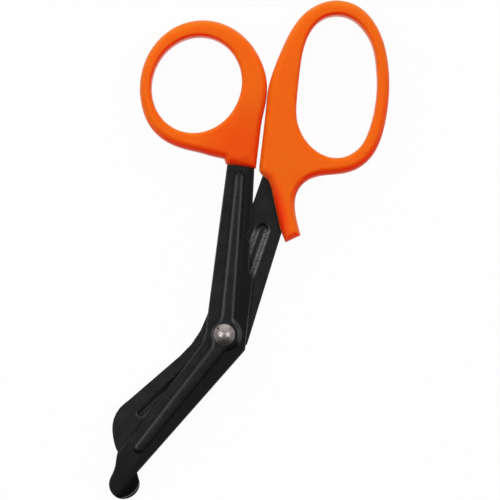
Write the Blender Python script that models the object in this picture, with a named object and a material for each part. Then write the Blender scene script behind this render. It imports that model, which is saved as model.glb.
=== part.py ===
"""Trauma shears, closed, lying on the backs of their handles with the tips towards -Y and the front up.

Two blades are blanked from sheet steel and stiffened by pressed beads. Their shanks end in tangs inside
moulded handles, one with a round thumb loop and one with a long finger loop, and a domed rivet joins them.
The front blade carries the folded foot that slides along the skin. The rear blade has the rounded belly.

Every outline is drawn in the plane of the sheet, in millimetres from the pivot. Angles are in degrees.
"""

import math
from dataclasses import dataclass

import bmesh
import bpy
import numpy as np
from mathutils import Matrix, Vector
from mathutils.geometry import tessellate_polygon

MM = 0.001
ARC_STEP = 12.0
CURVE_STEP = 2.1

# The stack through the pivot, from the back of the handles up
HANDLE_THICKNESS = 10.0
SHEET = 1.8
RUNNING_GAP = 0.3
SEAT_GAP = 0.3
BEAD_HEIGHT = 0.9
BEAD_WALL = 1.5
BEAD_STEPS = 4
BEAD_FILLET = 3.0
HOLLOW_OUTSET = 0.45

# Rims, as the width and the height of their rounding. Punched sheet is rounder on its outer face.
SHEET_RIM_OUTER = 0.35
SHEET_RIM_INNER = 0.12
HANDLE_RIM_WIDTH = 2.6
HANDLE_RIM_HEIGHT = 3.4
LOOP_RIM_WIDTH = 1.3
LOOP_RIM_HEIGHT = 2.0
RIM_STEPS = 4

# Domed rivet
RIVET_SHANK = 4.4
RIVET_HEAD = 7.5
RIVET_DOME = 1.75
RIVET_LIP = 0.35
RIVET_TAIL = 7.0
RIVET_TAIL_HEIGHT = 1.3
RIVET_TAIL_CHAMFER = 0.45
RIVET_SIDES = 36
DOME_STEPS = 8

# Shanks, measured along each shank's own axis from the pivot
FRONT_SHANK_LEAN = 4.9
REAR_SHANK_LEAN = 19.5
SHANK_INNER_EDGE = 6.32
COLLAR_REACH = 59.3
COLLAR_SLANT = 5.7
COLLAR_INNER_SIDE = 6.05
COLLAR_OUTER_SIDE = -4.4
SHOULDER_INNER_SIDE = 5.5
SHOULDER_OUTER_SIDE = -4.08
ELBOW_RADIUS = 32.0
HEEL_RADIUS = 1.5
WIRE_NOTCH_REACH = 35.1
WIRE_NOTCH_RADIUS = 2.4
WIRE_NOTCH_DEPTH = 1.25

# Tips, measured along each tip's own axis from the pivot
FRONT_TIP_LEAN = 218.5
REAR_TIP_LEAN = 226.6
REAR_TIP_SETBACK = 7.2
FOOT_RADIUS = 5.35
FOOT_REACH = 62.8
FOOT_OFFSET = 5.2
FOOT_FOLD = 38.0
FOOT_FOLD_RADIUS = 2.2
FOOT_CREASE_INSET = 0.6

# Cutting edges
GRIND_WIDTH = 0.7
EDGE_LAND = 0.9
TOOTH_PITCH = 0.8
TOOTH_DEPTH = 0.24
CUT_MARGIN = 0.8

# Beads: how far each reaches from the pivot or stops short of the tip, its widths at both ends, and its shift
BOSS_DIAMETER = 11.5
BOSS_SHIFT = 0.4
FRONT_SHANK_BEAD_REACH = 55.3
FRONT_SHANK_BEAD_WIDTH = 6.0
FRONT_SHANK_BEAD_END = 4.1
FRONT_SHANK_BEAD_SHIFT = 0.5
FRONT_TIP_BEAD_STOP = 13.5
FRONT_TIP_BEAD_WIDTH = 5.6
FRONT_TIP_BEAD_END = 4.7
FRONT_TIP_BEAD_SHIFT = -1.3
REAR_SHANK_BEAD_REACH = 38.9
REAR_SHANK_BEAD_WIDTH = 5.7
REAR_SHANK_BEAD_END = 5.2
REAR_SHANK_BEAD_SHIFT = 0.3
REAR_TIP_BEAD_STOP = 15.1
REAR_TIP_BEAD_WIDTH = 4.5
REAR_TIP_BEAD_END = 3.2
REAR_TIP_BEAD_SHIFT = 0.0

# Tangs inside the handles
TANG_LOCK_HOLE = 3.2
FRONT_TANG_LEAN = 11.0
FRONT_TANG_LENGTH = 24.0
FRONT_TANG_WIDTH = 5.6
REAR_TANG_LEAN = -2.0
REAR_TANG_LENGTH = 27.0
REAR_TANG_WIDTH = 6.6
TANG_TAPER = 0.65


@dataclass(frozen=True)
class Axis:
    """A line through the pivot that leans clockwise from +Y. Places lie along it and across, to its right."""

    lean: float

    def at(self, along, across=0.0):
        angle = math.radians(self.lean)
        x = along * math.sin(angle) + across * math.cos(angle)
        y = along * math.cos(angle) - across * math.sin(angle)
        return Vector((x, y))


FRONT_SHANK = Axis(FRONT_SHANK_LEAN)
REAR_SHANK = Axis(REAR_SHANK_LEAN)
FRONT_TIP = Axis(FRONT_TIP_LEAN)
REAR_TIP = Axis(REAR_TIP_LEAN)

MIDDLE = HANDLE_THICKNESS / 2
FRONT_INNER_FACE = MIDDLE + RUNNING_GAP / 2
FRONT_OUTER_FACE = FRONT_INNER_FACE + SHEET
REAR_INNER_FACE = MIDDLE - RUNNING_GAP / 2
REAR_OUTER_FACE = REAR_INNER_FACE - SHEET


# Outlines

def arc(centre, radius, start, end, step=ARC_STEP):
    """Points on a circle from one angle to another, counterclockwise when end is the larger."""
    count = max(2, math.ceil(abs(end - start) / step))
    angles = [math.radians(start + (end - start) * k / count) for k in range(count + 1)]
    return [Vector(centre) + radius * Vector((math.cos(a), math.sin(a))) for a in angles]


def circle(centre, radius, step=ARC_STEP):
    return arc(centre, radius, 0, 360, step)[:-1]


def ellipse_arc(centre, half_width, half_height, lean, start, end, step):
    """Points on an ellipse whose height leans clockwise from +Y. Angles run counterclockwise from its width."""
    turn = Matrix.Rotation(-math.radians(lean), 2)
    count = round(abs(end - start) / step)
    points = []
    for k in range(count + 1):
        angle = math.radians(start + (end - start) * k / count)
        spoke = Vector((half_width * math.cos(angle), half_height * math.sin(angle)))
        points.append(Vector(centre) + turn @ spoke)
    return points


def heading_of(vector):
    return math.degrees(math.atan2(vector.y, vector.x))


def arc_between(centre, start, end, clockwise=False):
    """Points round a centre from start up to end, without end itself."""
    first = heading_of(start - centre)
    sweep = (heading_of(end - centre) - first) % 360
    return arc(centre, (start - centre).length, first, first + sweep - 360 * clockwise)[:-1]


def meeting_point(line_a, line_b):
    """Where two lines cross, each given by two points and taken as endless."""
    (a, b), (c, d) = line_a, line_b
    first, second = b - a, d - c
    share = (c - a).cross(second) / first.cross(second)
    return a + first * share


def rounded(corners):
    """A closed outline from (point, radius) pairs. A corner with a radius becomes an arc that its sides limit."""
    points = []
    for index, (corner, radius) in enumerate(corners):
        if not radius:
            points.append(corner)
            continue
        before = corners[index - 1][0] - corner
        after = corners[(index + 1) % len(corners)][0] - corner
        half = before.angle(after) / 2
        reach = min(radius / math.tan(half), 0.49 * before.length, 0.49 * after.length)
        radius = reach * math.tan(half)
        centre = corner + (before.normalized() + after.normalized()).normalized() * radius / math.sin(half)
        spoke = corner + before.normalized() * reach - centre
        turn = math.copysign(math.pi - 2 * half, after.cross(before))
        count = max(2, math.ceil(math.degrees(abs(turn)) / ARC_STEP))
        points += [centre + Matrix.Rotation(turn * k / count, 2) @ spoke for k in range(count + 1)]
    return points


def smooth_curve(knots, closed=False):
    """Points about CURVE_STEP apart on the cubic spline through the knots."""
    places = np.array([tuple(knot) for knot in knots])
    if closed:
        places = np.vstack([places, places[:1]])
    spans = np.linalg.norm(np.diff(places, axis=0), axis=1)
    slopes = np.diff(places, axis=0) / spans[:, None]
    last = len(places) - 1
    system = np.eye(last + 1)
    bends = np.zeros_like(places)
    for i in range(1, last):
        system[i, i - 1:i + 2] = spans[i - 1], 2 * (spans[i - 1] + spans[i]), spans[i]
        bends[i] = 6 * (slopes[i] - slopes[i - 1])
    if closed:
        system[0, :2] = 2 * (spans[-1] + spans[0]), spans[0]
        system[0, last - 1] += spans[-1]
        bends[0] = 6 * (slopes[0] - slopes[-1])
        system[last, 0] = -1
    curvature = np.linalg.solve(system, bends)
    points = []
    for i, span in enumerate(spans):
        count = max(2, round(span / CURVE_STEP))
        for k in range(count):
            u = span * k / count
            v = span - u
            cubic = (curvature[i] * v ** 3 + curvature[i + 1] * u ** 3) / (6 * span)
            start = (places[i] / span - curvature[i] * span / 6) * v
            end = (places[i + 1] / span - curvature[i + 1] * span / 6) * u
            points.append(Vector(cubic + start + end))
    return points if closed else points + [Vector(places[-1])]


def inset(outline, distance):
    """The outline moved to its left, which is into the material.

    Outer outlines run counterclockwise and holes clockwise. Points keep their count. Where short sides vanish,
    as on a small corner, their points meet at one place.
    """
    count = len(outline)
    moved = []
    for index, point in enumerate(outline):
        before = (point - outline[index - 1]).normalized()
        after = (outline[(index + 1) % count] - point).normalized()
        left_before = Vector((-before.y, before.x))
        left_after = Vector((-after.y, after.x))
        moved.append(point + distance * (left_before + left_after) / (1 + left_before.dot(left_after)))
    vanished = []
    for i in range(count):
        side = outline[(i + 1) % count] - outline[i]
        vanished.append((moved[(i + 1) % count] - moved[i]).dot(side) < 0)
    for first in range(count):
        if not vanished[first] or vanished[first - 1]:
            continue
        last = first
        while vanished[(last + 1) % count]:
            last += 1
        side_before = (moved[first - 1], moved[first])
        side_after = (moved[(last + 1) % count], moved[(last + 2) % count])
        corner = meeting_point(side_before, side_after)
        for i in range(first, last + 2):
            moved[i % count] = corner
    return moved


def toothed(start, end):
    """Fine serrations along a straight cutting edge, as a zigzag cut into the material on its left."""
    edge = end - start
    into = Vector((-edge.y, edge.x)).normalized()
    count = round(edge.length / TOOTH_PITCH)
    points = []
    for k in range(count):
        points.append(start + edge * k / count)
        points.append(start + edge * (k + 0.5) / count + into * TOOTH_DEPTH)
    return points + [end]


# Solids

def rim_rings(low, high, low_rim, high_rim, steps=1):
    """(height, inset) of each ring up the side of a plate whose rims are rounded by (width, height)."""
    rises = [math.pi / 2 * k / steps for k in range(steps + 1)]
    bottom = [(low + low_rim[1] * (1 - math.cos(a)), low_rim[0] * (1 - math.sin(a))) for a in rises]
    top = [(high - high_rim[1] * (1 - math.cos(a)), high_rim[0] * (1 - math.sin(a))) for a in reversed(rises)]
    return bottom + top


def straight_rings(low, high):
    return [(low, 0.0), (high, 0.0)]


def bead_rings(face, height, root):
    """Rings of a bead pressed out of a face, with a steep foot and a round shoulder. A negative height is down."""
    rings = [(face - root, 0.0)]
    for k in range(BEAD_STEPS + 1):
        angle = math.pi / 2 * k / BEAD_STEPS
        rings.append((face + height * math.sin(angle), BEAD_WALL * (1 - math.cos(angle))))
    return sorted(rings)


def hollow_rings(face, height, root):
    """Rings of the hollow behind a bead, which rolls in round from its face and ends steep at its floor."""
    rings = [(face - root, 0.0)]
    for k in range(BEAD_STEPS + 1):
        angle = math.pi / 2 * k / BEAD_STEPS
        rings.append((face + height * (1 - math.cos(angle)), BEAD_WALL * math.sin(angle)))
    return sorted(rings)


def plate(walls):
    """A closed bmesh from (outline, rings) pairs, the outer wall first and then its holes."""
    mesh = bmesh.new()
    caps = ([], [])
    for outline, rings in walls:
        loops = []
        for height, distance in rings:
            ring = inset(outline, distance)
            loops.append([mesh.verts.new((p.x * MM, p.y * MM, height * MM)) for p in ring])
        for lower, upper in zip(loops, loops[1:]):
            for i in range(len(outline)):
                mesh.faces.new((lower[i - 1], lower[i], upper[i], upper[i - 1]))
        caps[0].append(loops[0])
        caps[1].append(loops[-1])
    for loops in caps:
        corners = [vert for loop in loops for vert in loop]
        for triangle in tessellate_polygon([[vert.co for vert in loop] for loop in loops]):
            mesh.faces.new([corners[i] for i in triangle])
    bmesh.ops.remove_doubles(mesh, verts=mesh.verts, dist=0.001 * MM)
    bmesh.ops.recalc_face_normals(mesh, faces=mesh.faces)
    return mesh


def turned(profile, sides):
    """A closed bmesh turned about the pivot from (radius, height) pairs, which start and end on the axis."""
    mesh = bmesh.new()
    edges = []
    verts = [mesh.verts.new((radius * MM, 0, height * MM)) for radius, height in profile]
    for lower, upper in zip(verts, verts[1:]):
        edges.append(mesh.edges.new((lower, upper)))
    bmesh.ops.spin(
        mesh, geom=verts + edges, cent=(0, 0, 0), axis=(0, 0, 1), angle=math.tau, steps=sides, use_merge=True,
    )
    bmesh.ops.remove_doubles(mesh, verts=mesh.verts, dist=0.001 * MM)
    bmesh.ops.recalc_face_normals(mesh, faces=mesh.faces)
    return mesh


def swept_wedge(path, width, face, edge):
    """The waste that grinding takes off the left of a path: nothing at its width, down to the edge's height."""
    beyond = math.copysign(CUT_MARGIN, face - edge)
    slope = (face - edge) / width
    section = [
        (-CUT_MARGIN, edge - CUT_MARGIN * slope), (-CUT_MARGIN, face + beyond),
        (width + beyond / slope, face + beyond),
    ]
    mesh = bmesh.new()
    rows = []
    for index, point in enumerate(path):
        ahead = path[min(index + 1, len(path) - 1)] - path[max(index - 1, 0)]
        left = Vector((-ahead.y, ahead.x)).normalized()
        places = [(point + left * across, height) for across, height in section]
        rows.append([mesh.verts.new((p.x * MM, p.y * MM, height * MM)) for p, height in places])
    for near, far in zip(rows, rows[1:]):
        for i in range(len(section)):
            mesh.faces.new((near[i - 1], near[i], far[i], far[i - 1]))
    mesh.faces.new(rows[0])
    mesh.faces.new(rows[-1])
    bmesh.ops.recalc_face_normals(mesh, faces=mesh.faces)
    return mesh


def make_object(name, mesh, parent):
    data = bpy.data.meshes.new(name)
    mesh.to_mesh(data)
    mesh.free()
    piece = bpy.data.objects.new(name, data)
    bpy.context.scene.collection.objects.link(piece)
    piece.parent = parent
    return piece


def apply_tool(target, name, mesh, operation):
    """Adds a Boolean to the target with a hidden tool solid: UNION fuses it on, DIFFERENCE cuts it away."""
    tool = make_object(f"{target.name}_{name}", mesh, target)
    tool.hide_render = True
    tool.display_type = "WIRE"
    boolean = target.modifiers.new(name, "BOOLEAN")
    boolean.operation = operation
    boolean.object = tool


def fuse(target, name, mesh):
    apply_tool(target, name, mesh, "UNION")


def cut(target, name, mesh):
    apply_tool(target, name, mesh, "DIFFERENCE")


# Features that both blades share

def inner_edge(shank, side):
    """The shank's edge nearer the other handle, up from the heel: a flat, a relief and the wire notch."""
    centre_across = SHANK_INNER_EDGE - WIRE_NOTCH_DEPTH + WIRE_NOTCH_RADIUS
    mouth = math.degrees(math.acos((centre_across - SHANK_INNER_EDGE) / WIRE_NOTCH_RADIUS))
    notch = []
    for angle in (-mouth, -mouth / 2, 0, mouth / 2, mouth):
        turn = math.radians(angle)
        along = WIRE_NOTCH_REACH + WIRE_NOTCH_RADIUS * math.sin(turn)
        notch.append((along, centre_across - WIRE_NOTCH_RADIUS * math.cos(turn)))
    stations = [(19.8, 8.4), (20.9, 8.2), (22.4, 7.3), (23.6, 6.8), (28.2, 6.45), *notch, (47.7, 5.9)]
    return [shank.at(along, side * across) for along, across in stations]


def tang(base, lean, length, width):
    """A tongue that narrows to a rounded end: its points, from the right of its base round to the left."""
    along = Axis(lean)
    tip = width * TANG_TAPER / 2
    sides = [(0, width / 2), (length, tip), (length, -tip), (0, -width / 2)]
    return [base + along.at(*place) for place in sides]


def lock_hole(base, lean, length):
    """The hole that the handle's plastic fills to hold the tang, clockwise."""
    return circle(base + Axis(lean).at(length / 2), TANG_LOCK_HOLE / 2, 30)[::-1]


@dataclass(frozen=True)
class Bead:
    """A bead that runs out of the boss beside an axis, from one width to another, to a round end."""

    axis: Axis
    reach: float
    width: float
    end_width: float
    shift: float

    def side(self, boss, hand):
        """The left side (hand 1) or the right (hand -1): the fillet's centre and both its feet, and the far end."""
        near, far = self.axis.at(0, self.shift), self.axis.at(self.reach, self.shift)
        run = far - near
        heading = heading_of(run)
        flare = math.degrees(math.asin((self.width - self.end_width) / 2 / run.length))
        out = Axis(90 - heading - hand * (90 - flare)).at(1)
        away = Axis(90 - heading + hand * flare).at(1)
        end = far + out * self.end_width / 2
        to_fillet = end + out * BEAD_FILLET - boss
        along = to_fillet.dot(away)
        reach = BOSS_DIAMETER / 2 + BEAD_FILLET
        back = along - math.sqrt(along ** 2 - to_fillet.length_squared + reach ** 2)
        centre = boss + to_fillet - away * back
        return centre, boss + (centre - boss) * BOSS_DIAMETER / 2 / reach, centre - out * BEAD_FILLET, end

    def outline(self, boss):
        """Counterclockwise from the boss: up the right side, round the end and back down the left side."""
        right_centre, right_foot, right_start, right_end = self.side(boss, -1)
        left_centre, left_foot, left_start, left_end = self.side(boss, 1)
        return [
            *arc_between(right_centre, right_foot, right_start, clockwise=True), right_start,
            *arc_between(self.axis.at(self.reach, self.shift), right_end, left_end), left_end,
            *arc_between(left_centre, left_start, left_foot, clockwise=True),
        ]


def press_beads(blade, sign, face, boss, beads):
    """Presses the boss and its beads out of the sheet: raised on the outer face, hollow on the inner one."""
    outline = []
    for bead, following in zip(beads, beads[1:] + beads[:1]):
        outline += bead.outline(boss)
        outline += arc_between(boss, bead.side(boss, 1)[1], following.side(boss, -1)[1])
    root = sign * SHEET / 4
    fuse(blade, "beads", plate([(outline, bead_rings(face, sign * BEAD_HEIGHT, root))]))
    hollow = hollow_rings(face - sign * SHEET, sign * BEAD_HEIGHT, root)
    cut(blade, "bead_hollows", plate([(inset(outline, -HOLLOW_OUTSET), hollow)]))


def add_rivet_hole(blade):
    radius = RIVET_SHANK / 2 + SEAT_GAP
    through = straight_rings(-SHEET, HANDLE_THICKNESS + SHEET)
    cut(blade, "rivet_hole", plate([(circle((0, 0), radius), through)]))


# Front blade

FRONT_TANG_BASE = FRONT_SHANK.at(COLLAR_REACH, 0.75)
FOOT_CENTRE = FRONT_TIP.at(FOOT_REACH, -FOOT_OFFSET)
FRONT_OUTER_EDGE = (FRONT_SHANK.at(COLLAR_REACH, SHOULDER_OUTER_SIDE), FRONT_SHANK.at(5.9, -6.44))
FRONT_CUTTING_EDGE = (FRONT_TIP.at(15.9, 4.11), FRONT_TIP.at(FOOT_REACH - 7.3, 3.62))
FRONT_SPINE = (FRONT_TIP.at(FOOT_REACH - 6.0, -6.15), FRONT_TIP.at(0.7, -9.08))
FRONT_INNER_FLAT = (FRONT_SHANK.at(-2.9, 7.75), FRONT_SHANK.at(19.8, 8.4))


def collar_point(across, gap):
    """A point on the slanted line where the thumb handle's collar ends, or a gap short of it."""
    along = COLLAR_REACH - math.tan(math.radians(COLLAR_SLANT)) * across - gap
    return FRONT_SHANK.at(along, across)


def front_outline():
    """Counterclockwise from the outer shoulder: down the outer edge, round elbow and foot, and back up."""
    elbow = meeting_point(FRONT_OUTER_EDGE, FRONT_CUTTING_EDGE)
    edge_start, edge_end = FRONT_CUTTING_EDGE
    down_to_edge = rounded([
        (collar_point(SHOULDER_OUTER_SIDE, SEAT_GAP), 0), (elbow, ELBOW_RADIUS),
        (edge_start.lerp(edge_end, 0.02), 0),
    ])
    foot = arc(FOOT_CENTRE, FOOT_RADIUS, 154, 384)
    neck = smooth_curve([
        edge_end, FRONT_TIP.at(FOOT_REACH - 5.4, 2.65), FRONT_TIP.at(FOOT_REACH - 2.9, 1.2),
        FRONT_TIP.at(FOOT_REACH - 0.4, 0.35), foot[0],
    ])
    heel_corner = meeting_point(FRONT_SPINE, FRONT_INNER_FLAT)
    heel = rounded([(FRONT_SPINE[0], 0), (heel_corner, HEEL_RADIUS), (FRONT_INNER_FLAT[1], 0)])[1:-1]
    serrations = toothed(down_to_edge[-1], edge_end)
    tongue = tang(FRONT_TANG_BASE, FRONT_TANG_LEAN, FRONT_TANG_LENGTH, FRONT_TANG_WIDTH)
    shoulders = (collar_point(SHOULDER_INNER_SIDE, SEAT_GAP), collar_point(SHOULDER_OUTER_SIDE, SEAT_GAP))
    root_right = meeting_point((tongue[0], tongue[1]), shoulders)
    root_left = meeting_point((tongue[3], tongue[2]), shoulders)
    return [
        *down_to_edge[:-1], *serrations, *neck[1:-1], *foot, FRONT_SPINE[0], *heel,
        *inner_edge(FRONT_SHANK, 1), shoulders[0], root_right, tongue[1], tongue[2], root_left,
    ]


def fold_foot(sheet):
    """Folds the foot's outer half to the rear about its crease. From the front its outline stays round."""
    along = (FRONT_SPINE[0] - FRONT_SPINE[1]).normalized()
    out = Vector((-along.y, along.x))
    crease_end = FRONT_SPINE[0] - out * FOOT_CREASE_INSET
    reach = FOOT_RADIUS + (FOOT_CENTRE - crease_end).dot(out)
    middle = (FRONT_INNER_FACE + FRONT_OUTER_FACE) / 2
    fold = math.radians(FOOT_FOLD)
    arc_reach = FOOT_FOLD_RADIUS * math.sin(fold)
    narrowing = 1 - (SHEET - SHEET_RIM_OUTER) / 2 * math.sin(fold) / reach

    def split(place, normal, faces):
        verts = {vert for face in faces for vert in face.verts}
        edges = {edge for face in faces for edge in face.edges}
        bmesh.ops.bisect_plane(
            sheet, geom=[*verts, *edges, *faces], plane_co=(place.x * MM, place.y * MM, 0),
            plane_no=(normal.x, normal.y, 0), dist=1e-8,
        )

    def beyond_neck(point):
        return (Vector(point.xy) / MM - crease_end).dot(along) > -0.001

    split(crease_end, along, list(sheet.faces))
    for share in (0.001, 0.25, 0.5, 0.75, 1.0):
        foot_faces = [face for face in sheet.faces if beyond_neck(face.calc_center_median())]
        split(crease_end + out * share * arc_reach / narrowing, out, foot_faces)
    for vert in sheet.verts:
        place = Vector(vert.co.xy) / MM
        distance = (place - crease_end).dot(out)
        if distance <= 0 or not beyond_neck(vert.co):
            continue
        run = distance * narrowing
        slope = math.asin(min(run / FOOT_FOLD_RADIUS, math.sin(fold)))
        drop = FOOT_FOLD_RADIUS * (1 - math.cos(slope)) + max(0, run - arc_reach) * math.tan(fold)
        side = vert.co.z / MM - middle
        place += out * (run + side * math.sin(slope) - distance)
        vert.co = (place.x * MM, place.y * MM, (middle - drop + side * math.cos(slope)) * MM)


def make_front_blade(parent):
    rings = rim_rings(FRONT_INNER_FACE, FRONT_OUTER_FACE, (SHEET_RIM_INNER,) * 2, (SHEET_RIM_OUTER,) * 2)
    hole = lock_hole(FRONT_TANG_BASE, FRONT_TANG_LEAN, FRONT_TANG_LENGTH)
    sheet = plate([(front_outline(), rings), (hole, straight_rings(FRONT_INNER_FACE, FRONT_OUTER_FACE))])
    fold_foot(sheet)
    blade = make_object("front_blade", sheet, parent)
    shank_bead = Bead(
        FRONT_SHANK, FRONT_SHANK_BEAD_REACH, FRONT_SHANK_BEAD_WIDTH, FRONT_SHANK_BEAD_END,
        FRONT_SHANK_BEAD_SHIFT,
    )
    tip_bead_reach = FOOT_REACH - FRONT_TIP_BEAD_STOP
    tip_bead = Bead(FRONT_TIP, tip_bead_reach, FRONT_TIP_BEAD_WIDTH, FRONT_TIP_BEAD_END, FRONT_TIP_BEAD_SHIFT)
    press_beads(blade, 1, FRONT_OUTER_FACE, FRONT_SHANK.at(0, BOSS_SHIFT), [shank_bead, tip_bead])
    add_rivet_hole(blade)
    elbow = meeting_point(FRONT_OUTER_EDGE, FRONT_CUTTING_EDGE)
    ground = rounded([(FRONT_OUTER_EDGE[1], 0), (elbow, ELBOW_RADIUS), (FRONT_CUTTING_EDGE[1], 0)])[1:]
    land = FRONT_INNER_FACE + EDGE_LAND
    cut(blade, "ground_edge", swept_wedge(ground, GRIND_WIDTH, FRONT_OUTER_FACE, land))
    return blade


# Rear blade

REAR_TANG_BASE = REAR_SHANK.at(58.5, 1.2)
REAR_OUTER_EDGE = (REAR_SHANK.at(-0.2, 8.65), REAR_SHANK.at(51.0, 6.6))
REAR_INNER_FLAT = (REAR_SHANK.at(19.8, -8.4), REAR_SHANK.at(-2.9, -7.75))
REAR_TIP_REACH = FOOT_REACH - REAR_TIP_SETBACK
REAR_SPINE = (REAR_TIP.at(15.4, 5.12), REAR_TIP.at(REAR_TIP_REACH - 15.0, 6.29))
REAR_CUTTING_EDGE = (REAR_TIP.at(REAR_TIP_REACH - 4.1, -8.6), REAR_TIP.at(7.3, -6.5))


def rear_root():
    """The sheet where the finger handle grips it, counterclockwise from the outer edge up round the tang."""
    tongue = tang(REAR_TANG_BASE, REAR_TANG_LEAN, REAR_TANG_LENGTH, REAR_TANG_WIDTH)
    return [REAR_OUTER_EDGE[1], *tongue, REAR_SHANK.at(57.0, -5.95)]


def rear_outline():
    """Counterclockwise from the top of the inner edge: down round the elbow, the belly and tip, and back up."""
    elbow = meeting_point(REAR_INNER_FLAT, REAR_SPINE)
    down_to_spine = rounded([(REAR_INNER_FLAT[0], 0), (elbow, ELBOW_RADIUS), (REAR_SPINE[1], 0)])[1:]
    belly_places = [(11.2, 6.45), (6.9, 5.05), (3.8, 2.4), (1.4, -1.1), (0.0, -4.9), (0.7, -7.6)]
    belly_knots = [REAR_TIP.at(REAR_TIP_REACH - short, across) for short, across in belly_places]
    belly = smooth_curve([REAR_SPINE[1], *belly_knots, REAR_CUTTING_EDGE[0]])[1:]
    heel = rounded([
        (REAR_CUTTING_EDGE[1], 0), (REAR_TIP.at(-3.2, -8.1), 2.0), (REAR_OUTER_EDGE[1], 0),
    ])[:-1]
    return [*inner_edge(REAR_SHANK, -1)[::-1], *down_to_spine, *belly, *heel, *rear_root()]


def make_rear_blade(parent):
    rings = rim_rings(REAR_OUTER_FACE, REAR_INNER_FACE, (SHEET_RIM_OUTER,) * 2, (SHEET_RIM_INNER,) * 2)
    hole = lock_hole(REAR_TANG_BASE, REAR_TANG_LEAN, REAR_TANG_LENGTH)
    sheet = plate([(rear_outline(), rings), (hole, straight_rings(REAR_OUTER_FACE, REAR_INNER_FACE))])
    blade = make_object("rear_blade", sheet, parent)
    shank_bead = Bead(
        REAR_SHANK, REAR_SHANK_BEAD_REACH, REAR_SHANK_BEAD_WIDTH, REAR_SHANK_BEAD_END, REAR_SHANK_BEAD_SHIFT,
    )
    tip_bead_reach = REAR_TIP_REACH - REAR_TIP_BEAD_STOP
    tip_bead = Bead(REAR_TIP, tip_bead_reach, REAR_TIP_BEAD_WIDTH, REAR_TIP_BEAD_END, REAR_TIP_BEAD_SHIFT)
    press_beads(blade, -1, REAR_OUTER_FACE, REAR_SHANK.at(0, BOSS_SHIFT), [shank_bead, tip_bead])
    add_rivet_hole(blade)
    land = REAR_INNER_FACE - EDGE_LAND
    cut(blade, "ground_edge", swept_wedge(REAR_CUTTING_EDGE, GRIND_WIDTH, REAR_OUTER_FACE, land))
    return blade


# Handles

def moulded(outline, loop):
    """A handle's plastic, rounded outside and round its loop."""
    rim = (HANDLE_RIM_WIDTH, HANDLE_RIM_HEIGHT)
    loop_rim = (LOOP_RIM_WIDTH, LOOP_RIM_HEIGHT)
    outside = rim_rings(0, HANDLE_THICKNESS, rim, rim, RIM_STEPS)
    inside = rim_rings(0, HANDLE_THICKNESS, loop_rim, loop_rim, RIM_STEPS)
    return plate([(outline, outside), (loop, inside)])


def pocket(outline, hole, low, high):
    """The space that a tang takes in its handle, with a gap all round and a post left through its lock hole."""
    rings = straight_rings(low - SEAT_GAP, high + SEAT_GAP)
    return plate([(inset(outline, -SEAT_GAP), rings), (inset(hole, -SEAT_GAP), rings)])


def thumb_outline():
    """Counterclockwise from the inner end of the collar: up the inner flank, round the loop and back down."""
    loop = ellipse_arc((-7.4, 85.7), 22.25, 24.2, -2, -2, 210, 21.2)
    flank = [(-20.6, 67.5), (-14.8, 65.0), (-9.4, 63.7), (-3.6, 62.5)]
    collar_inner = collar_point(COLLAR_INNER_SIDE, 0)
    around = smooth_curve([(12.35, 68.7), (13.15, 75.0), *loop, *flank])
    collar_outer = [(Vector((0.2, 61.7)), 0.8), (collar_point(COLLAR_OUTER_SIDE, 0), 0)]
    return rounded([(collar_inner, 0), *((point, 0) for point in around), *collar_outer])


def make_thumb_handle(parent):
    loop = ellipse_arc((-9.7, 87.2), 15.5, 17.1, 25, 0, 360, 7.5)[:0:-1]
    handle = make_object("thumb_handle", moulded(thumb_outline(), loop), parent)
    tongue = tang(FRONT_TANG_BASE, FRONT_TANG_LEAN, FRONT_TANG_LENGTH, FRONT_TANG_WIDTH)
    outline = [tongue[3].lerp(tongue[2], -0.2), tongue[0].lerp(tongue[1], -0.2), tongue[1], tongue[2]]
    hole = lock_hole(FRONT_TANG_BASE, FRONT_TANG_LEAN, FRONT_TANG_LENGTH)
    cut(handle, "tang_pocket", pocket(outline, hole, FRONT_INNER_FACE, FRONT_OUTER_FACE))
    return handle


def finger_outline():
    """Counterclockwise from the foot of the spur: up its right flank, round the loop and down the inner flank."""
    right = smooth_curve([
        (26.7, 34.6), (24.9, 42.4), (25.0, 48.4), (27.9, 53.0), (32.9, 55.3), (38.5, 55.9), (44.2, 56.9),
        (49.1, 59.6), (52.7, 63.8), (55.0, 68.9), (56.8, 76.6), (57.75, 86.0), (57.4, 94.0), (55.6, 102.6),
        (52.3, 109.4), (48.4, 113.7), (43.6, 116.2), (38.9, 116.9), (33.9, 115.9), (29.3, 113.4), (25.3, 109.3),
        (21.8, 103.5), (18.95, 97.0), (16.5, 90.0), (15.4, 85.6), (14.8, 80.3), (13.9, 73.0), (12.85, 64.5),
        (12.1, 58.2),
    ])
    left = smooth_curve([(13.4, 55.5), (15.4, 53.7), (16.9, 48.7), (18.5, 41.6), (19.9, 35.8), (21.4, 32.1)])
    return [*right, Vector((12.2, 56.7)), *left]


def make_finger_handle(parent):
    loop = smooth_curve([
        (40.0, 111.5), (45.4, 109.7), (49.4, 105.5), (51.9, 100.6), (53.1, 94.0), (53.4, 86.4), (52.7, 79.4),
        (50.9, 72.2), (47.6, 65.6), (43.4, 62.5), (39.0, 61.6), (34.7, 62.6), (30.2, 65.7), (26.9, 70.3),
        (25.3, 75.6), (25.4, 82.3), (26.4, 92.0), (28.0, 100.8), (31.2, 107.4), (35.4, 110.7),
    ], closed=True)
    handle = make_object("finger_handle", moulded(finger_outline(), loop), parent)
    outline = [REAR_SHANK.at(28, -6.4), REAR_OUTER_EDGE[0].lerp(REAR_OUTER_EDGE[1], 0.55), *rear_root()]
    hole = lock_hole(REAR_TANG_BASE, REAR_TANG_LEAN, REAR_TANG_LENGTH)
    cut(handle, "tang_pocket", pocket(outline, hole, REAR_OUTER_FACE, REAR_INNER_FACE))
    return handle


# Rivet

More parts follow.
